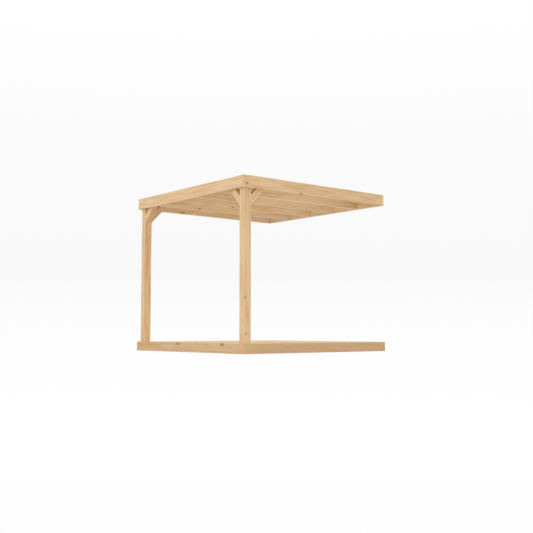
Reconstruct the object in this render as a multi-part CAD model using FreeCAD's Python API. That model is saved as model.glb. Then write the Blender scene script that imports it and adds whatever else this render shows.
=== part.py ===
import FreeCAD, Part
import os

os.makedirs("parts", exist_ok=True)

# An attached patio cover: a low timber floor, two front posts with knee braces,
# and a flat boarded roof in a ring of deep boards, whose back board bolts to a wall.
# Millimetres. Z is up, Y points at the wall, X runs along it.
# The origin is on the ground, under the middle of the object.

# Overall sizes, outside the boards
width = 3000.0
depth = 2960.0
base_height = 150.0
clear_height = 2280.0
ring_height = 180.0

# Sections of the timbers
board_thick = 45.0
post_side = 120.0
joist_thick = 45.0
roof_joist_depth = 145.0
batten_side = 45.0
brace_depth = 100.0
brace_thick = 80.0
arris = 3.0

# Boarding
floor_board_thick = 28.0
roof_board_thick = 20.0

# How far a brace comes down and out from the corner under the ring
brace_leg = 250.0

# Joists: how many, and the clear way from the outer ones to the braces and the posts
roof_joist_count = 4
floor_joist_count = 5
brace_to_joist = 62.5
post_to_joist = 112.5

# Wall bolts: a pair, one above the other, midway on both sides of every roof joist
bolt_hole = 13.0
bolt_rise = 80.0
drill_overrun = 1.0

# Levels worked out from the sizes above
floor_top = base_height
floor_joist_top = floor_top - floor_board_thick
ring_bottom = floor_top + clear_height
ring_top = ring_bottom + ring_height
roof_joist_top = ring_bottom + roof_joist_depth
roof_batten_bottom = roof_joist_top - batten_side
brace_foot = ring_bottom - brace_leg
brace_reach = roof_batten_bottom - brace_foot

# Faces worked out from the sizes above: the inside of the boards, and of the posts
side_face = width / 2 - board_thick
front_face = -depth / 2 + board_thick
back_face = depth / 2 - board_thick
post_inner_x = side_face - post_side
post_inner_y = front_face + post_side
roof_joist_limit = post_inner_x - brace_reach - brace_to_joist
floor_joist_limit = post_inner_x - post_to_joist


def save(name, solid):
    """Write one sub-part."""
    solid.exportStep(f"parts/{name}.step")


def timber(x0, x1, y0, y1, z0, z1):
    """A planed timber between two corners, with its long arrises eased."""
    size = (x1 - x0, y1 - y0, z1 - z0)
    solid = Part.makeBox(*size, FreeCAD.Vector(x0, y0, z0))
    along = size.index(max(size))
    long_edges = [edge for edge in solid.Edges if runs_along(edge, along)]
    return solid.makeChamfer(arris, long_edges)


def runs_along(edge, axis):
    """Whether a straight edge runs along X (0), Y (1) or Z (2)."""
    start, end = [vertex.Point for vertex in edge.Vertexes]
    return abs(end[axis] - start[axis]) > 0.5 * edge.Length


def sheet(corners, level, thickness):
    """A flat sheet of the given outline, standing on a level."""
    points = [FreeCAD.Vector(x, y, level) for x, y in corners]
    face = Part.Face(Part.makePolygon(points + points[:1]))
    return face.extrude(FreeCAD.Vector(0, 0, thickness))


def joist_centres(count, limit):
    """Evenly spaced places of joists about X = 0, the outer ones' faces at the limit."""
    outer = limit - joist_thick / 2
    spacing = 2 * outer / (count - 1)
    return [i * spacing - outer for i in range(count)]


def joist(x, z0, z1):
    """A joist between the front and back boards, centred on X = x."""
    return timber(x - joist_thick / 2, x + joist_thick / 2, front_face, back_face, z0, z1)


def side_batten(side, top):
    """A batten on the inside of a side board, from the post to the back board."""
    faces = sorted((side * side_face, side * (side_face - batten_side)))
    return timber(*faces, post_inner_y, back_face, top - batten_side, top)


# Base: four rim boards on edge round the floor joists, all standing on the ground


def base_rims():
    """The front and back rims run through, and the side rims fit between them."""
    save("base_rim_front", timber(-width / 2, width / 2, -depth / 2, front_face, 0, base_height))
    save("base_rim_back", timber(-width / 2, width / 2, back_face, depth / 2, 0, base_height))
    save("base_rim_left", timber(-width / 2, -side_face, front_face, back_face, 0, base_height))
    save("base_rim_right", timber(side_face, width / 2, front_face, back_face, 0, base_height))


def floor_frame():
    """Joists from front to back, and a batten on each side rim for the board ends."""
    for number, x in enumerate(joist_centres(floor_joist_count, floor_joist_limit), 1):
        save(f"floor_joist_{number}", joist(x, 0, floor_joist_top))
    save("floor_batten_left", side_batten(-1, floor_joist_top))
    save("floor_batten_right", side_batten(1, floor_joist_top))


def floor_deck():
    """The floor boards as one sheet inside the rims, cut round the feet of the posts."""
    corners = [
        (-post_inner_x, front_face),
        (post_inner_x, front_face),
        (post_inner_x, post_inner_y),
        (side_face, post_inner_y),
        (side_face, back_face),
        (-side_face, back_face),
        (-side_face, post_inner_y),
        (-post_inner_x, post_inner_y),
    ]
    save("floor_deck", sheet(corners, floor_joist_top, floor_board_thick))


# Posts, from the ground to the underside of the roof boards


def posts():
    """Both posts stand in the front corners, inside the rim and ring boards."""
    save("post_left", timber(-side_face, -post_inner_x, front_face, post_inner_y, 0, roof_joist_top))
    save("post_right", timber(post_inner_x, side_face, front_face, post_inner_y, 0, roof_joist_top))


# Knee braces at 45 degrees, flush with the outer faces of their post. Their tops
# lap the inside of the ring boards and stop level with the underside of the battens.


def brace_profile():
    """Outline of a brace, as distance out from the post and height."""
    level_cut = brace_depth * 2 ** 0.5
    return [
        (0, brace_foot),
        (brace_reach, roof_batten_bottom),
        (brace_reach - level_cut, roof_batten_bottom),
        (0, brace_foot + level_cut),
    ]


def brace(corner, outwards, across):
    """A brace out from the corner of a post's face, as thick as its second direction."""
    out = FreeCAD.Vector(*outwards)
    points = [corner + out * s + FreeCAD.Vector(0, 0, z) for s, z in brace_profile()]
    face = Part.Face(Part.makePolygon(points + points[:1]))
    solid = face.extrude(FreeCAD.Vector(*across) * brace_thick)
    return solid.makeChamfer(arris, [edge for edge in solid.Edges if is_slanted(edge)])


def is_slanted(edge):
    """Whether an edge is one of the four long arrises of a brace."""
    start, end = [vertex.Point for vertex in edge.Vertexes]
    return 0.1 * edge.Length < abs(end.z - start.z) < 0.9 * edge.Length


def braces():
    """One brace along the front and one along the side at each post."""
    for name, side in (("left", -1), ("right", 1)):
        front_corner = FreeCAD.Vector(side * post_inner_x, front_face, 0)
        side_corner = FreeCAD.Vector(side * side_face, post_inner_y, 0)
        save(f"brace_{name}_front", brace(front_corner, (-side, 0, 0), (0, 1, 0)))
        save(f"brace_{name}_side", brace(side_corner, (0, 1, 0), (-side, 0, 0)))


# Roof: a ring of boards on edge, joists and battens inside it, and boards on them


def roof_ring():
    """The side boards run through to the front, and stop at the wall board."""
    save("roof_ring_front", timber(-side_face, side_face, -depth / 2, front_face, ring_bottom, ring_top))
    save("roof_ring_left", timber(-width / 2, -side_face, -depth / 2, back_face, ring_bottom, ring_top))
    save("roof_ring_right", timber(side_face, width / 2, -depth / 2, back_face, ring_bottom, ring_top))
    wall_board = timber(-width / 2, width / 2, back_face, depth / 2, ring_bottom, ring_top)
    save("roof_ring_wall", wall_board.cut(wall_bolt_drills()))


def wall_bolt_drills():
    """Drills through the wall board, beside the joists and about their mid-height."""
    joists = joist_centres(roof_joist_count, roof_joist_limit)
    half_bay = (joists[1] - joists[0]) / 2
    columns = [joists[0] - half_bay] + [x + half_bay for x in joists]
    middle = (ring_bottom + roof_joist_top) / 2
    length = board_thick + 2 * drill_overrun
    drills = []
    for x in columns:
        for z in (middle - bolt_rise / 2, middle + bolt_rise / 2):
            start = FreeCAD.Vector(x, back_face - drill_overrun, z)
            drills.append(Part.makeCylinder(bolt_hole / 2, length, start, FreeCAD.Vector(0, 1, 0)))
    return Part.makeCompound(drills)


def roof_frame():
    """Joists flush with the bottom of the ring, and a batten on each side board."""
    for number, x in enumerate(joist_centres(roof_joist_count, roof_joist_limit), 1):
        save(f"roof_joist_{number}", joist(x, ring_bottom, roof_joist_top))
    save("roof_batten_left", side_batten(-1, roof_joist_top))
    save("roof_batten_right", side_batten(1, roof_joist_top))


def roof_deck():
    """The roof boards as one sheet inside the ring, on the joists and battens."""
    corners = [
        (-side_face, front_face),
        (side_face, front_face),
        (side_face, back_face),
        (-side_face, back_face),
    ]
    save("roof_deck", sheet(corners, roof_joist_top, roof_board_thick))


base_rims()
floor_frame()
floor_deck()
posts()
braces()
roof_ring()
roof_frame()
roof_deck()
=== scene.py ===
import math
import random

import bmesh
import bpy
from mathutils import Matrix, Quaternion, Vector


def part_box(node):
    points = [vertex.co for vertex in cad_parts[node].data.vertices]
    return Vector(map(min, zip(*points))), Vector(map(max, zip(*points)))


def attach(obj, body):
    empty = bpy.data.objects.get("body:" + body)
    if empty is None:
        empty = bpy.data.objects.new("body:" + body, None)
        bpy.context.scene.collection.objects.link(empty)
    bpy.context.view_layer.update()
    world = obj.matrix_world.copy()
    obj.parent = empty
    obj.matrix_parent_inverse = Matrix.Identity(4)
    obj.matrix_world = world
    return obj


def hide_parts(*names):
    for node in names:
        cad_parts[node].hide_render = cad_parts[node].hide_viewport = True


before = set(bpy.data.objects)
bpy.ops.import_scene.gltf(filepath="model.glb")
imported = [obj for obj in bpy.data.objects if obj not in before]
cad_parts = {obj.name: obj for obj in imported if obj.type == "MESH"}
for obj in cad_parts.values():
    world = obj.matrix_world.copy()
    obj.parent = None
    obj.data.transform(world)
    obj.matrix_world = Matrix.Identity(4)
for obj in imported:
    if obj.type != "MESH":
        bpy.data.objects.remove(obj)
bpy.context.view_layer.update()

# Base rims: four planed spruce boards on edge that stand on the ground as a frame.
# The front and back boards run through and are screwed into the ends of the side
# ones, which are a little darker and plainer.

ARRIS_RADIUS = 0.003
ARRIS_STEPS = 3
END_EASING = 0.0008

# How far from the heart of its tree a timber is sawn, at least and at most
SAWN_FROM_HEART = (0.05, 0.13)

# Knots at set places: centre, and half sizes along X, Y and Z
NAMED_KNOTS = [
    ((1.5, -1.428, 2.484), (0.02, 0.019, 0.015)),
    ((1.5, -0.373, 2.436), (0.02, 0.024, 0.014)),
    ((-0.223, -1.48, 0.133), (0.044, 0.02, 0.021)),
    ((0.295, -1.48, 0.150), (0.012, 0.02, 0.010)),
    ((0.972, -1.48, 0.132), (0.046, 0.02, 0.020)),
    ((-1.415, -1.48, 0.136), (0.014, 0.02, 0.016)),
    ((1.455, -1.422, 0.819), (0.02, 0.011, 0.017)),
    ((1.455, -1.406, 0.293), (0.02, 0.012, 0.016)),
    ((-1.455, -0.600, 2.446), (0.02, 0.046, 0.010)),
    ((-0.8775, -0.630, 2.453), (0.02, 0.032, 0.012)),
    ((-0.2775, -0.353, 2.437), (0.02, 0.026, 0.009)),
]

# Darker streaks low on the right ring board, over the post head and its side brace, running down from the
# knot at the roof corner, given the same way
NAMED_STREAKS = [
    ((1.5, -1.370, 2.474), (0.02, 0.08, 0.011)),
    ((1.5, -1.270, 2.461), (0.02, 0.09, 0.012)),
    ((1.5, -1.160, 2.447), (0.02, 0.10, 0.010)),
]

# All other knots: one to a cell of the tree at most, long through a board's thickness
KNOT_CELL = (0.5, 0.1, 0.12)
KNOT_CELL_REACH = (0.5, 0.1, 0.03)
KNOT_SCATTER = 0.85
KNOT_RADIUS = 0.005
KNOT_RADIUS_SPREAD = 0.011
NO_KNOT = 50.0
NO_STREAK = 9.0


def add(tree, kind, inputs, **settings):
    """One shader node; each input is a number, a colour or another node's output."""
    made = tree.nodes.new(kind)
    for key, value in settings.items():
        setattr(made, key, value)
    for key, value in inputs.items():
        if isinstance(value, bpy.types.NodeSocket):
            tree.links.new(value, made.inputs[key])
        else:
            made.inputs[key].default_value = value
    return made


def calc(tree, operation, *values):
    """A number worked out from one to three others."""
    return add(tree, "ShaderNodeMath", dict(enumerate(values)), operation=operation).outputs[0]


def vector_calc(tree, operation, *values):
    """A vector worked out from one or two others."""
    return add(tree, "ShaderNodeVectorMath", dict(enumerate(values)), operation=operation).outputs[0]


def length(tree, vector):
    """The length of a vector."""
    return add(tree, "ShaderNodeVectorMath", {0: vector}, operation="LENGTH").outputs["Value"]


def fade(tree, value, low, high, at_low=0.0, at_high=1.0):
    """A smooth step between two values."""
    inputs = {"Value": value, "From Min": low, "From Max": high, "To Min": at_low, "To Max": at_high}
    return add(tree, "ShaderNodeMapRange", inputs, interpolation_type="SMOOTHSTEP").outputs[0]


def ramp(tree, value, stops):
    """A colour picked along a row of stops."""
    made = add(tree, "ShaderNodeValToRGB", {0: value})
    elements = made.color_ramp.elements
    elements[0].position, elements[1].position = stops[0][0], stops[-1][0]
    elements[0].color, elements[1].color = (*stops[0][1], 1), (*stops[-1][1], 1)
    for position, colour in stops[1:-1]:
        elements.new(position).color = (*colour, 1)
    return made.outputs[0]


def blend(tree, amount, below, above, mode="MIX"):
    """One colour laid over another."""
    inputs = {"Factor": amount, "A": below, "B": above}
    made = add(tree, "ShaderNodeMix", {}, data_type="RGBA", blend_type=mode)
    for socket in made.inputs:
        if socket.type in ("RGBA", "VALUE") and socket.enabled and socket.name in inputs:
            value = inputs[socket.name]
            if isinstance(value, bpy.types.NodeSocket):
                tree.links.new(value, socket)
            else:
                socket.default_value = value
    return [socket for socket in made.outputs if socket.enabled][0]


def noise(tree, place, scale, detail, output=0):
    """Cloudy values round a half, or three of them with the output Color."""
    inputs = {"Vector": place, "Scale": scale, "Detail": detail}
    return add(tree, "ShaderNodeTexNoise", inputs).outputs[output]


def stretched_noise(tree, grain, stretch, detail, output=0):
    """Cloudy values with a size of their own along and across the grain."""
    return noise(tree, vector_calc(tree, "MULTIPLY", grain, stretch), 1.0, detail, output)


def nearest_of(tree, nearest, marks):
    """The lesser of a nearness and those of marks at set places."""
    position = add(tree, "ShaderNodeTexCoord", {}).outputs["Object"]
    for centre, half_sizes in marks:
        offset = vector_calc(tree, "SUBTRACT", position, centre)
        reach = length(tree, vector_calc(tree, "DIVIDE", offset, half_sizes))
        nearest = calc(tree, "MINIMUM", nearest, reach)
    return nearest


def knot_nearness(tree, grain, knottiness):
    """How far a point is from the nearest knot, in that knot's own radii."""
    place = vector_calc(tree, "DIVIDE", grain, KNOT_CELL)
    inputs = {"Vector": place, "Scale": 1.0, "Randomness": KNOT_SCATTER}
    voronoi = add(tree, "ShaderNodeTexVoronoi", inputs)
    gap = vector_calc(tree, "SUBTRACT", place, voronoi.outputs["Position"])
    distance = length(tree, vector_calc(tree, "MULTIPLY", gap, KNOT_CELL_REACH))
    chance = add(tree, "ShaderNodeSeparateColor", {0: voronoi.outputs["Color"]})
    radius = calc(tree, "MULTIPLY_ADD", chance.outputs[0], KNOT_RADIUS_SPREAD, KNOT_RADIUS)
    none_here = calc(tree, "GREATER_THAN", chance.outputs[1], knottiness)
    nearest = calc(tree, "MULTIPLY_ADD", none_here, NO_KNOT, calc(tree, "DIVIDE", distance, radius))
    return nearest_of(tree, nearest, NAMED_KNOTS)


# How the rings wander in a trunk, how many and how even they are, how far they move
# aside for a knot, and how slowly they change along the trunk
WANDER_STRETCH = (0.9, 2.2, 2.2)
WANDER_REACH = (0, 0.06, 0.06)
RINGS_A_METRE = 210.0
UNEVEN_YEARS = 2.2
RING_SHIFT_AT_KNOT = 0.012
CHANGE_ALONG = 0.02


def growth_rings(tree, grain, swirl):
    """The dark late wood that ends each year's ring, and broader bands of years."""
    wander = stretched_noise(tree, grain, WANDER_STRETCH, 2.0, "Color")
    drift = vector_calc(tree, "SUBTRACT", wander, (0.5, 0.5, 0.5))
    bent = vector_calc(tree, "ADD", grain, vector_calc(tree, "MULTIPLY", drift, WANDER_REACH))
    x, y, z = add(tree, "ShaderNodeSeparateXYZ", {0: bent}).outputs
    from_heart = length(tree, add(tree, "ShaderNodeCombineXYZ", {1: y, 2: z}).outputs[0])
    radius = calc(tree, "MULTIPLY_ADD", swirl, RING_SHIFT_AT_KNOT, from_heart)
    along = calc(tree, "MULTIPLY", x, CHANGE_ALONG)
    place = add(tree, "ShaderNodeCombineXYZ", {0: along, 1: radius}).outputs[0]
    years = noise(tree, place, 42.0, 2.0)
    count = calc(tree, "MULTIPLY_ADD", years, UNEVEN_YEARS, calc(tree, "MULTIPLY", radius, RINGS_A_METRE))
    season = calc(tree, "FRACT", count)
    darkening = fade(tree, season, 0.35, 0.9)
    still_this_year = fade(tree, season, 0.92, 1.0, 1.0, 0.0)
    late = calc(tree, "MULTIPLY", darkening, still_this_year)
    return late, noise(tree, place, 60.0, 3.0)


# Fineness of the fibres, streaks and clouds along and across the grain
FIBRE_STRETCH = (4.0, 330.0, 330.0)
STREAK_STRETCH = (1.7, 40.0, 40.0)
CLOUD_STRETCH = (1.2, 9.0, 9.0)

# How much each part of the figure darkens the wood, and what is taken off for its average
LATE_WOOD_SHARE = 0.30
LATE_WOOD_AVERAGE = 0.06
BAND_SHARE = 0.42
FIBRE_SHARE = 0.26
STREAK_AVERAGE = 0.36
CLOUD_SHARE = 0.35
SWIRL_SHARE = 0.45
CORNER_STREAK_SHARE = 0.55
TONE_SHARE = 0.10


def figure_of_wood(tree, grain, knot, tone, figure):
    """How far from light to dark the wood is, and the late wood and fibres in it."""
    swirl = calc(tree, "POWER", fade(tree, knot, 0.0, 4.0, 1.0, 0.0), 1.6)
    late, bands = growth_rings(tree, grain, swirl)
    fibres = stretched_noise(tree, grain, FIBRE_STRETCH, 3.0)
    streaks = fade(tree, stretched_noise(tree, grain, STREAK_STRETCH, 2.0), 0.40, 0.68)
    clouds = stretched_noise(tree, grain, CLOUD_STRETCH, 2.0)
    # Darker streaks low on the right ring board, over the post head and its side brace
    corner_streak = fade(tree, nearest_of(tree, NO_STREAK, NAMED_STREAKS), 0.3, 1.3, CORNER_STREAK_SHARE, 0.0)
    depth = calc(tree, "MULTIPLY_ADD", late, LATE_WOOD_SHARE, -LATE_WOOD_AVERAGE)
    depth = calc(tree, "ADD", depth, fade(tree, bands, 0.35, 0.75, 0.0, BAND_SHARE))
    depth = calc(tree, "MULTIPLY_ADD", calc(tree, "SUBTRACT", fibres, 0.5), FIBRE_SHARE, depth)
    depth = calc(tree, "MULTIPLY_ADD", calc(tree, "SUBTRACT", streaks, STREAK_AVERAGE), figure, depth)
    depth = calc(tree, "MULTIPLY_ADD", calc(tree, "SUBTRACT", clouds, 0.5), CLOUD_SHARE, depth)
    depth = calc(tree, "MULTIPLY_ADD", swirl, SWIRL_SHARE, depth)
    depth = calc(tree, "ADD", depth, corner_streak)
    depth = calc(tree, "MULTIPLY_ADD", tone, TONE_SHARE, depth)
    return depth, late, fibres


KNOT_COLOURS = [(0.0, (0.46, 0.22, 0.07)), (0.7, (0.52, 0.27, 0.09)), (1.0, (0.34, 0.15, 0.045))]
KNOT_RINGS = 21.0
KNOT_RING_SHARE = 0.12
SAWN_TINT = (0.99, 0.99, 0.98, 1)
SAWN_ROUGHNESS = 0.2
FIBRE_ROUGHNESS = 0.16
GRAIN_HEIGHT = 0.0006


def wood_colour(tree, light, dark, depth, knot, sawn_end):
    """The colour between light and dark, with the knots and the sawn ends laid over it."""
    colour = ramp(tree, depth, [(0.0, light), (1.0, dark)])
    rings = calc(tree, "SINE", calc(tree, "MULTIPLY", knot, KNOT_RINGS))
    knot_wood = ramp(tree, calc(tree, "MULTIPLY_ADD", rings, KNOT_RING_SHARE, knot), KNOT_COLOURS)
    colour = blend(tree, fade(tree, knot, 0.92, 1.18, 1.0, 0.0), colour, knot_wood)
    sawn = blend(tree, 1.0, colour, SAWN_TINT, "MULTIPLY")
    return blend(tree, sawn_end, colour, sawn)


def spruce(name, light, dark, roughness, figure):
    """Planed spruce: growth rings round a heart, knots, fibres, and rougher sawn ends.

    Figure is how strongly the long darker streaks show.
    """
    material = bpy.data.materials.new(name)
    material.use_nodes = True
    tree = material.node_tree
    shader = tree.nodes["Principled BSDF"]
    grain = add(tree, "ShaderNodeAttribute", {}, attribute_name="grain").outputs["Vector"]
    board = add(tree, "ShaderNodeAttribute", {}, attribute_name="board").outputs["Vector"]
    tone, knottiness, sawn_end = add(tree, "ShaderNodeSeparateXYZ", {0: board}).outputs
    knot = knot_nearness(tree, grain, knottiness)
    depth, late, fibres = figure_of_wood(tree, grain, knot, tone, figure)
    colour = wood_colour(tree, light, dark, depth, knot, sawn_end)
    tree.links.new(colour, shader.inputs["Base Color"])
    rough = calc(tree, "MULTIPLY_ADD", fibres, FIBRE_ROUGHNESS, roughness)
    rough = calc(tree, "MULTIPLY_ADD", sawn_end, SAWN_ROUGHNESS, rough)
    tree.links.new(rough, shader.inputs["Roughness"])
    height = calc(tree, "MULTIPLY_ADD", fibres, 0.6, calc(tree, "MULTIPLY", late, 0.4))
    bump = add(tree, "ShaderNodeBump", {"Strength": 0.25, "Distance": GRAIN_HEIGHT, "Height": height})
    tree.links.new(bump.outputs[0], shader.inputs["Normal"])
    shader.inputs["Specular IOR Level"].default_value = 0.35
    return material


def ease(bm, edges, offset, segments):
    """Rounds the given edges."""
    bmesh.ops.bevel(
        bm, geom=edges, offset=offset, segments=segments, profile=0.5, affect="EDGES", material=-1)


def wood_mesh():
    """An empty mesh whose points and faces can say where in a tree they come from."""
    bm = bmesh.new()
    bm.verts.layers.float_vector.new("grain")
    bm.faces.layers.float_vector.new("board")
    return bm


def plank(bm, name, low, high, knots, heart=None, tone=None, arris=ARRIS_RADIUS):
    """One planed timber between two corners, rounded, with its own stretch of a tree."""
    size = high - low
    centre = (low + high) / 2
    by_size = sorted(range(3), key=lambda axis: -size[axis])
    along = by_size[0]
    before = set(bm.verts)
    bar = bmesh.ops.create_cube(bm, size=1.0, matrix=Matrix.LocRotScale(centre, None, size))["verts"]
    edges = {edge for vert in bar for edge in vert.link_edges}
    long_edges = [e for e in edges if abs((e.verts[0].co - e.verts[1].co)[along]) > 0.5 * size[along]]
    ease(bm, long_edges, arris, ARRIS_STEPS)
    bm.normal_update()
    ends = [f for f in bm.faces if abs(f.normal[along]) > 0.9 and not before.intersection(f.verts)]
    ease(bm, [e for f in ends for e in f.edges], END_EASING, 1)
    ways = [Vector([float(axis == way) for axis in range(3)]) for way in by_size]
    lay_grain(bm, name, [v for v in bm.verts if v not in before], centre, ways, knots, heart, tone)


def lay_grain(bm, name, verts, centre, ways, knots, heart=None, tone=None):
    """Gives one timber its place in a tree; ways are its length, width and thickness.

    Knots is the share of cells with a knot, and heart is how far the heart lies from the
    middle of the timber along its width and thickness. Tone runs from -1 for a light
    timber to 1 for a dark one.
    """
    pick = random.Random(name)
    grain = bm.verts.layers.float_vector["grain"]
    board = bm.faces.layers.float_vector["board"]
    start = Vector((pick.uniform(0, 40), pick.uniform(-0.02, 0.02), pick.uniform(*SAWN_FROM_HEART)))
    if heart is not None:
        start.y, start.z = heart
    flip = pick.choice((-1, 1))
    tone = pick.uniform(-1, 1) if tone is None else tone
    bm.normal_update()
    for vert in verts:
        offset = vert.co - centre
        vert[grain] = start + Vector((flip * offset.dot(ways[0]), offset.dot(ways[1]), offset.dot(ways[2])))
    for face in {face for vert in verts for face in vert.link_faces}:
        face[board] = Vector((tone, knots, float(abs(face.normal.dot(ways[0])) > 0.6)))


def finish_piece(bm, name, material, slot, *nodes):
    """Makes the mesh a piece that stands for its CAD nodes."""
    mesh = bpy.data.meshes.new(name)
    bm.normal_update()
    bm.to_mesh(mesh)
    bm.free()
    mesh.materials.append(material)
    for polygon in mesh.polygons:
        polygon.use_smooth = False
    piece = bpy.data.objects.new(name, mesh)
    bpy.context.scene.collection.objects.link(piece)
    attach(piece, "root")
    if nodes:
        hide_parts(*nodes)


def dress_timber(node, wood, knots, heart=None, tone=None):
    """The planed timber of one CAD node."""
    low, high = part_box(node)
    bm = wood_mesh()
    plank(bm, node, low, high, knots, heart, tone)
    finish_piece(bm, node + "_wood", wood, "frame_timber", node)


rim_wood = spruce("rim_spruce", (0.74, 0.515, 0.295), (0.55, 0.29, 0.10), 0.5, 0.22)
side_rim_wood = spruce("side_rim_spruce", (0.68, 0.445, 0.24), (0.57, 0.345, 0.152), 0.5, 0.1)

dress_timber("base_rim_front", rim_wood, knots=0.0, tone=0.1)
dress_timber("base_rim_back", rim_wood, knots=0.12)
for side in ("left", "right"):
    dress_timber("base_rim_" + side, side_rim_wood, knots=0.12)

# Rim screws: three through the front and back rims into the end of each side rim.
# They are of yellow zinc-plated steel, countersunk, with a star recess for the bit.

SCREW_RADIUS = 0.0046
SCREW_PROUD = 0.0004
SCREW_SIDES = 12
HEAD_TAPER = 0.94
STAR_RADIUS = 0.002
STAR_WAIST = 0.68
STAR_DEPTH = 0.8
RIM_SCREW_HEIGHTS = (0.030, 0.075, 0.120)


def zinc_plate():
    """Yellow zinc plating, a little uneven."""
    material = bpy.data.materials.new("yellow_zinc")
    material.use_nodes = True
    tree = material.node_tree
    shader = tree.nodes["Principled BSDF"]
    position = add(tree, "ShaderNodeTexCoord", {}).outputs["Object"]
    patches = noise(tree, position, 260.0, 2.0)
    colour = ramp(tree, patches, [(0.3, (0.66, 0.56, 0.32)), (0.7, (0.55, 0.44, 0.22))])
    tree.links.new(colour, shader.inputs["Base Color"])
    tree.links.new(calc(tree, "MULTIPLY_ADD", patches, 0.25, 0.25), shader.inputs["Roughness"])
    shader.inputs["Metallic"].default_value = 1.0
    return material


zinc = zinc_plate()


def screw_head(bm, place, way, turn):
    """One countersunk head with a star recess, which faces a way and has its own turn."""
    stand = way.to_track_quat("Z", "Y") @ Quaternion((0, 0, 1), turn)
    head = bmesh.ops.create_cone(
        bm, cap_ends=True, segments=SCREW_SIDES, radius1=SCREW_RADIUS, radius2=HEAD_TAPER * SCREW_RADIUS,
        depth=2 * SCREW_PROUD, matrix=Matrix.LocRotScale(place, stand, None))["verts"]
    bm.normal_update()
    top = [f for f in {f for v in head for f in v.link_faces} if f.normal.dot(way) > 0.99]
    bmesh.ops.inset_individual(bm, faces=top, thickness=HEAD_TAPER * SCREW_RADIUS - STAR_RADIUS)
    middle = place + way * SCREW_PROUD
    for number, vert in enumerate(top[0].verts):
        reach = STAR_WAIST if number % 2 else 1.0
        vert.co = middle + (vert.co - middle) * reach - way * SCREW_PROUD * STAR_DEPTH


def screw_heads(name, seats):
    """A piece of screw heads; a seat is a place on a face and the way that the face looks."""
    pick = random.Random(name)
    bm = bmesh.new()
    for place, way in seats:
        screw_head(bm, place, way, pick.uniform(0, 1))
    finish_piece(bm, name, zinc, "fixings")


rim_seats = []
for node, out in (("base_rim_front", -1), ("base_rim_back", 1)):
    low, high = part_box(node)
    y = high.y if out > 0 else low.y
    for side in (-1, 1):
        x = side * (high.x - (high.y - low.y) / 2)
        rim_seats += [(Vector((x, y, z)), Vector((0, out, 0))) for z in RIM_SCREW_HEIGHTS]
screw_heads("rim_screws", rim_seats)

# Floor frame: joists on the ground from the front rim to the back one, and a batten on
# each side rim that carries the ends of the boards. They are of the same spruce as the
# front rim, with more knots.

FLOOR_JOIST_COUNT = 5
FLOOR_FRAME_KNOTS = 0.6

for number in range(1, FLOOR_JOIST_COUNT + 1):
    dress_timber(f"floor_joist_{number}", rim_wood, FLOOR_FRAME_KNOTS)
for side in ("left", "right"):
    dress_timber("floor_batten_" + side, rim_wood, FLOOR_FRAME_KNOTS)

# Floor boards: planed spruce boards from side to side with open joints, screwed down
# twice at every joist and batten. The front one fits between the feet of the posts.

FLOOR_BOARD_COUNT = 23
FLOOR_GAP = 0.005
FLOOR_GAP_SLACK = 0.0012
END_GAP = 0.002
SCREW_FROM_EDGE = 0.022


def middle_line(node):
    """Where a joist or batten lies along X."""
    low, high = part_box(node)
    return (low + high).x / 2


def board_seats(pick, low, high, lines, stray_x, stray_y):
    """Seats of two screws at every line in the top of a board, each a little astray."""
    seats = []
    for x in lines:
        for y in (low.y + SCREW_FROM_EDGE, high.y - SCREW_FROM_EDGE):
            seat_x = x + pick.uniform(-stray_x, stray_x)
            seat_y = y + pick.uniform(-stray_y, stray_y)
            seats.append((Vector((seat_x, seat_y, high.z)), Vector((0, 0, 1))))
    return seats


floor_wood = spruce("floor_spruce", (0.85, 0.66, 0.43), (0.68, 0.395, 0.155), 0.5, 0.3)
deck_low, deck_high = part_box("floor_deck")
post_low, post_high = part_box("post_right")
floor_pitch = (deck_high.y - deck_low.y + FLOOR_GAP) / FLOOR_BOARD_COUNT
joist_lines = [middle_line(f"floor_joist_{n}") for n in range(1, FLOOR_JOIST_COUNT + 1)]
all_lines = [middle_line("floor_batten_left"), *joist_lines, middle_line("floor_batten_right")]
pick = random.Random("floor")
floor_seats = []
bm = wood_mesh()
for number in range(FLOOR_BOARD_COUNT):
    half_length = post_low.x if number == 0 else deck_high.x
    y = deck_low.y + number * floor_pitch
    slack = pick.uniform(0, FLOOR_GAP_SLACK)
    low = Vector((END_GAP - half_length, y + slack, deck_low.z))
    high = Vector((half_length - END_GAP, y + floor_pitch - FLOOR_GAP, deck_high.z))
    plank(bm, f"floor_board_{number}", low, high, knots=0.3)
    lines = joist_lines if number == 0 else all_lines
    floor_seats += board_seats(pick, low, high, lines, 0.003, 0.002)
finish_piece(bm, "floor_boards", floor_wood, "floor_boards", "floor_deck")
screw_heads("floor_screws", floor_seats)

# Posts: square spruce with the heart inside, from the ground to the roof boards.
# They stand in the front corners, inside the boards of the base and of the roof ring.

HEART_FROM_MIDDLE = 0.008

frame_wood = spruce("planed_spruce", (0.785, 0.565, 0.335), (0.62, 0.33, 0.105), 0.48, 0.55)
dress_timber("post_left", frame_wood, knots=0.15, heart=(0.01, HEART_FROM_MIDDLE), tone=0.7)
dress_timber("post_right", frame_wood, knots=0.0, heart=(-0.012, HEART_FROM_MIDDLE), tone=-0.5)

# Knee braces: short spruce timbers cut to 45 degrees at both ends, flush with the
# outer faces of the post. Each is screwed to the post at its foot and to the back of
# the ring board at its head.

BRACE_DEPTH = 0.100
BRACE_KNOTS = 0.1
BRACE_TONE = 0.9
BLANK_TO_REACH = 2.2
FOOT_SCREW_RISE = 0.045
FOOT_SCREW_SHIFTS = (-0.025, 0.025)
HEAD_SCREWS_DOWN = (0.06, 0.11)


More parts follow.
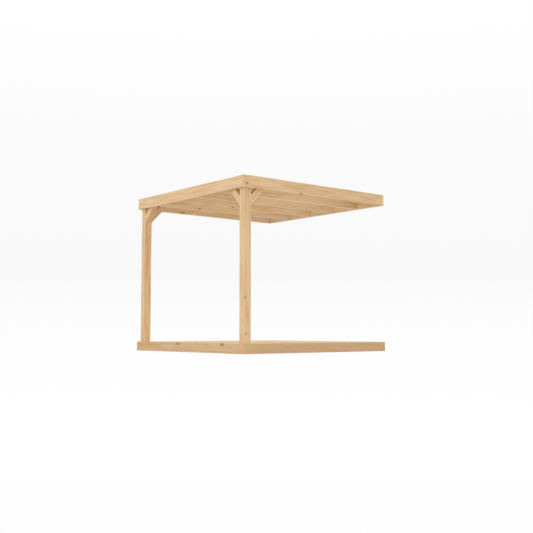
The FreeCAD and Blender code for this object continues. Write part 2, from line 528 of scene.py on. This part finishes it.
def cut_flat(bm, at, outwards):
    """Saws off what lies beyond a plane and closes the cut."""
    geometry = bm.verts[:] + bm.edges[:] + bm.faces[:]
    cut = bmesh.ops.bisect_plane(bm, geom=geometry, plane_co=at, plane_no=outwards, clear_outer=True)
    rim = [item for item in cut["geom_cut"] if isinstance(item, bmesh.types.BMEdge)]
    bmesh.ops.contextual_create(bm, geom=rim)


def knee_brace(node, out, post_face, tone):
    """One brace that rises away from the face of its post, and the seats of its screws."""
    low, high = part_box(node)
    rise = Vector((0, 0, 1))
    across = out.cross(rise)
    along = (rise + out).normalized()
    inward = (rise - out).normalized()
    reach = high.z - low.z
    thickness = abs((high - low).dot(across))
    centre = (low + high) / 2
    start = post_face + across * across.dot(centre - post_face) + rise * (low.z - post_face.z)
    axis_middle = start + (out + rise) * reach / 2 + inward * BRACE_DEPTH / 2
    size = Vector((reach * BLANK_TO_REACH, BRACE_DEPTH, thickness))
    turn = Matrix((along, inward, across)).transposed()
    bm = wood_mesh()
    bmesh.ops.create_cube(bm, size=1.0, matrix=Matrix.LocRotScale(axis_middle, turn.to_quaternion(), size))
    ease(bm, [e for e in bm.edges if e.calc_length() > reach], ARRIS_RADIUS, ARRIS_STEPS)
    cut_flat(bm, start, -out)
    cut_flat(bm, high, rise)
    bmesh.ops.recalc_face_normals(bm, faces=bm.faces)
    lay_grain(bm, node, bm.verts, axis_middle, (along, inward, across), BRACE_KNOTS, tone=tone)
    finish_piece(bm, node + "_wood", frame_wood, "frame_timber", node)
    inside = across if across.dot(centre) < 0 else -across
    foot = [(start + along * FOOT_SCREW_RISE + across * shift, -inward) for shift in FOOT_SCREW_SHIFTS]
    head = start + (out + rise) * reach + inward * BRACE_DEPTH / 2 + inside * thickness / 2
    return foot + [(head - along * down, inside) for down in HEAD_SCREWS_DOWN]


brace_seats = []
for side, sign in (("left", -1), ("right", 1)):
    post_low, post_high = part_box("post_" + side)
    inner_face = Vector((post_low.x if sign > 0 else post_high.x, 0, 0))
    back_face = Vector((0, post_high.y, 0))
    brace_seats += knee_brace(f"brace_{side}_front", Vector((-sign, 0, 0)), inner_face, BRACE_TONE)
    # The side braces take the brace tone turned by side, so the side brace at the left post is painted
    # lighter than the rest: painted light for the light that falls on its face under the roof.
    brace_seats += knee_brace(f"brace_{side}_side", Vector((0, 1, 0)), back_face, BRACE_TONE * sign)
screw_heads("brace_screws", brace_seats)

# Roof ring: deep boards on edge, screwed at the corners. The side boards run through to
# the front, where their sawn ends show, and the wall board closes the back and is
# bolted to the wall. The left and wall boards, whose inner faces show under the roof,
# are painted in a paler spruce: painted light for the brighter light that falls there.

BOLT_HOLE_RADIUS = 0.0065
BOLT_HOLE_SIDES = 20
BOLT_COLUMNS = (-1.2, -0.6, 0.0, 0.6, 1.2)
BOLT_ROWS = (2.4625, 2.5425)
RING_SCREW_RISES = (0.035, 0.090, 0.145)


def drilled_board(node, wood, knots):
    """A board on edge with round bolt holes through it."""
    low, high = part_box(node)
    size = high - low
    centre = (low + high) / 2
    bm = wood_mesh()
    upright = Matrix.Rotation(math.pi / 2, 4, "X")
    outline = Matrix.LocRotScale(Vector((centre.x, low.y, centre.z)), None, (size.x, 1, size.z)) @ upright
    bmesh.ops.create_grid(bm, x_segments=1, y_segments=1, size=0.5, matrix=outline)
    bmesh.ops.delete(bm, geom=bm.faces[:], context="FACES_ONLY")
    for x in BOLT_COLUMNS:
        for z in BOLT_ROWS:
            place = Matrix.Translation((x, low.y, z)) @ upright
            bmesh.ops.create_circle(bm, segments=BOLT_HOLE_SIDES, radius=BOLT_HOLE_RADIUS, matrix=place)
    bmesh.ops.triangle_fill(bm, edges=bm.edges[:], use_beauty=True, normal=(0, 1, 0))
    made = bmesh.ops.extrude_face_region(bm, geom=bm.faces[:])["geom"]
    back = [item for item in made if isinstance(item, bmesh.types.BMVert)]
    bmesh.ops.translate(bm, verts=back, vec=(0, size.y, 0))
    bmesh.ops.recalc_face_normals(bm, faces=bm.faces)
    long_edges = [e for e in bm.edges if abs((e.verts[0].co - e.verts[1].co).x) > 0.999 * size.x]
    ease(bm, long_edges, ARRIS_RADIUS, ARRIS_STEPS)
    ways = (Vector((1, 0, 0)), Vector((0, 0, 1)), Vector((0, 1, 0)))
    lay_grain(bm, node, bm.verts, centre, ways, knots)
    finish_piece(bm, node + "_wood", wood, "frame_timber", node)


# A paler spruce colour for the parts that show under the roof: painted light, lighter than their wood, for
# the brighter light that falls there.
painted_light_wood = spruce("joist_spruce", (0.83, 0.665, 0.44), (0.64, 0.375, 0.14), 0.52, 0.42)
dress_timber("roof_ring_front", frame_wood, knots=0.0, heart=(0.015, 0.075), tone=-0.3)
dress_timber("roof_ring_left", painted_light_wood, knots=0.0, tone=1.0)
dress_timber("roof_ring_right", frame_wood, knots=0.0, tone=1.0)
drilled_board("roof_ring_wall", painted_light_wood, knots=0.1)

ring_seats = []
front_low, front_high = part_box("roof_ring_front")
wall_low, wall_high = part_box("roof_ring_wall")
front_board_y = (front_low.y + front_high.y) / 2
side_board_x = (wall_high.x + front_high.x) / 2
for side in (-1, 1):
    for rise in RING_SCREW_RISES:
        z = front_low.z + rise
        ring_seats.append((Vector((side * wall_high.x, front_board_y, z)), Vector((side, 0, 0))))
        ring_seats.append((Vector((side * side_board_x, wall_high.y, z)), Vector((0, 1, 0))))
screw_heads("ring_screws", ring_seats)

# Roof joists and battens: joists between the front and wall boards, flush with the
# underside of the ring and screwed through both sides at each end, and battens on the
# side boards that carry the ends of the roof boards. Both are painted in the paler
# spruce of the ring's inner boards: painted light for the brighter light under the roof.

JOIST_TONES = (-0.6, -0.4, 0.3, 0.5)
JOIST_SCREW_FROM_END = 0.03
JOIST_SCREW_RISES = (0.05, 0.09)

for number, tone in enumerate(JOIST_TONES, 1):
    dress_timber(f"roof_joist_{number}", painted_light_wood, knots=0.0, tone=tone)
for side in ("left", "right"):
    dress_timber("roof_batten_" + side, painted_light_wood, knots=0.3)

joist_seats = []
left_rise, right_rise = JOIST_SCREW_RISES
for number in range(1, len(JOIST_TONES) + 1):
    low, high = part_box(f"roof_joist_{number}")
    for y in (low.y + JOIST_SCREW_FROM_END, high.y - JOIST_SCREW_FROM_END):
        joist_seats.append((Vector((low.x, y, low.z + left_rise)), Vector((-1, 0, 0))))
        joist_seats.append((Vector((high.x, y, low.z + right_rise)), Vector((1, 0, 0))))
screw_heads("joist_screws", joist_seats)

# Roof boards: tongued spruce boards from side to side with a small vee at every joint,
# screwed down twice at every joist and batten.

ROOF_BOARD_COUNT = 23
VEE = 0.003

roof_wood = spruce("roof_spruce", (0.86, 0.695, 0.48), (0.69, 0.43, 0.18), 0.52, 0.35)
deck_low, deck_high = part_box("roof_deck")
roof_pitch = (deck_high.y - deck_low.y) / ROOF_BOARD_COUNT
roof_lines = [middle_line(f"roof_joist_{n}") for n in range(1, len(JOIST_TONES) + 1)]
roof_lines += [middle_line("roof_batten_left"), middle_line("roof_batten_right")]
pick = random.Random("roof")
roof_seats = []
bm = wood_mesh()
for number in range(ROOF_BOARD_COUNT):
    y = deck_low.y + number * roof_pitch
    low = Vector((deck_low.x, y, deck_low.z))
    high = Vector((deck_high.x, y + roof_pitch, deck_high.z))
    plank(bm, f"roof_board_{number}", low, high, knots=0.35, arris=VEE)
    roof_seats += board_seats(pick, low, high, roof_lines, 0.004, 0.003)
finish_piece(bm, "roof_boards", roof_wood, "roof_boards", "roof_deck")
screw_heads("roof_screws", roof_seats)

# Studio: a wide white floor and an even white surround, which the camera sees near
# white. A soft key lamp stands at the front left and a low fill at the front right, and
# two weak lamps under the roof stand for light that the floor throws up.

STUDIO_RADIUS = 45.0
STUDIO_SIDES = 96
STUDIO_GREY = (0.6, 0.6, 0.6, 1)
STUDIO_GLOW_SHARE = 0.98
SURROUND_LIGHT = (1, 0.99, 0.965, 1)
SURROUND_STRENGTH = 0.98

# The surround as the camera sees it, from level to overhead
SURROUND_SHADES = [
    (0.0, (0.98, 0.98, 0.98)),
    (0.025, (0.975, 0.975, 0.975)),
    (0.065, (0.945, 0.943, 0.945)),
    (0.2, (0.96, 0.96, 0.96)),
    (0.36, (1, 1, 1)),
]


def seen_directly(tree):
    """Whether the camera sees a place directly, in a reflection or through something clear."""
    path = add(tree, "ShaderNodeLightPath", {})
    seen = calc(tree, "MAXIMUM", path.outputs["Is Camera Ray"], path.outputs["Is Glossy Ray"])
    return calc(tree, "MAXIMUM", seen, path.outputs["Is Transmission Ray"])


def lamp(name, place, aim, size, watts, colour):
    """A soft lamp of a width and height that points at a place; the camera doesn't see it."""
    data = bpy.data.lights.new(name, "AREA")
    data.shape = "RECTANGLE"
    data.size, data.size_y = size
    data.energy = watts
    data.color = colour
    made = bpy.data.objects.new(name, data)
    made.visible_camera = False
    made.visible_glossy = False
    made.location = place
    made.rotation_euler = (Vector(aim) - Vector(place)).to_track_quat("-Z", "Y").to_euler()
    bpy.context.scene.collection.objects.link(made)


bm = bmesh.new()
bmesh.ops.create_circle(bm, cap_ends=True, segments=STUDIO_SIDES, radius=STUDIO_RADIUS)
floor_mesh = bpy.data.meshes.new("studio_floor")
bm.to_mesh(floor_mesh)
bm.free()
studio_floor = bpy.data.objects.new("studio_floor", floor_mesh)
bpy.context.scene.collection.objects.link(studio_floor)

white = bpy.data.materials.new("white_floor")
white.use_nodes = True
tree = white.node_tree
tree.nodes.clear()
share = calc(tree, "MULTIPLY", seen_directly(tree), STUDIO_GLOW_SHARE)
lit = add(tree, "ShaderNodeBsdfDiffuse", {"Color": STUDIO_GREY}).outputs[0]
glow = add(tree, "ShaderNodeEmission", {"Color": (1, 1, 1, 1), "Strength": 1.0}).outputs[0]
mixed = add(tree, "ShaderNodeMixShader", {0: share, 1: lit, 2: glow}).outputs[0]
add(tree, "ShaderNodeOutputMaterial", {"Surface": mixed})
floor_mesh.materials.append(white)

world = bpy.data.worlds.new("surround")
bpy.context.scene.world = world
world.use_nodes = True
tree = world.node_tree
tree.nodes.clear()
way = add(tree, "ShaderNodeTexCoord", {}).outputs["Generated"]
height = add(tree, "ShaderNodeSeparateXYZ", {0: way}).outputs["Z"]
shade = ramp(tree, height, SURROUND_SHADES)
light = add(tree, "ShaderNodeBackground", {"Color": SURROUND_LIGHT, "Strength": SURROUND_STRENGTH}).outputs[0]
shown = add(tree, "ShaderNodeBackground", {"Color": shade, "Strength": 1.0}).outputs[0]
mixed = add(tree, "ShaderNodeMixShader", {0: seen_directly(tree), 1: light, 2: shown}).outputs[0]
add(tree, "ShaderNodeOutputWorld", {"Surface": mixed})

lamp("key", (-3.5, -9.0, 7.0), (0, 0, 1.2), (6.0, 6.0), 116, (1.0, 1.03, 1.12))
lamp("fill", (9.2, -7.9, 0.4), (0, 0, 1.9), (3.0, 0.6), 150, (1.0, 1.0, 1.02))
lamp("bounce", (0.0, 0.55, 0.7), (-0.2, 0.6, 2.5), (1.6, 1.6), 5.8, (0.92, 0.99, 1.05))
lamp("side_bounce", (1.4, -0.05, 1.75), (-1.0, -0.05, 2.35), (2.2, 0.25), 3.1, (0.98, 0.98, 1.0))

# Camera: low down at the front right, and turned a little upwards.

camera_data = bpy.data.cameras.new("camera")
camera_data.sensor_width = 36
camera_data.lens = 55.79
camera_data.clip_end = 200
camera = bpy.data.objects.new("camera", camera_data)
camera.location = (10.9306, -8.7414, 0.3386)
view_way = Vector((-0.77297, 0.62971, 0.07729))
camera.rotation_euler = view_way.to_track_quat("-Z", "Y").to_euler()
bpy.context.scene.collection.objects.link(camera)
bpy.context.scene.camera = camera
bpy.context.scene.view_settings.view_transform = "Standard"
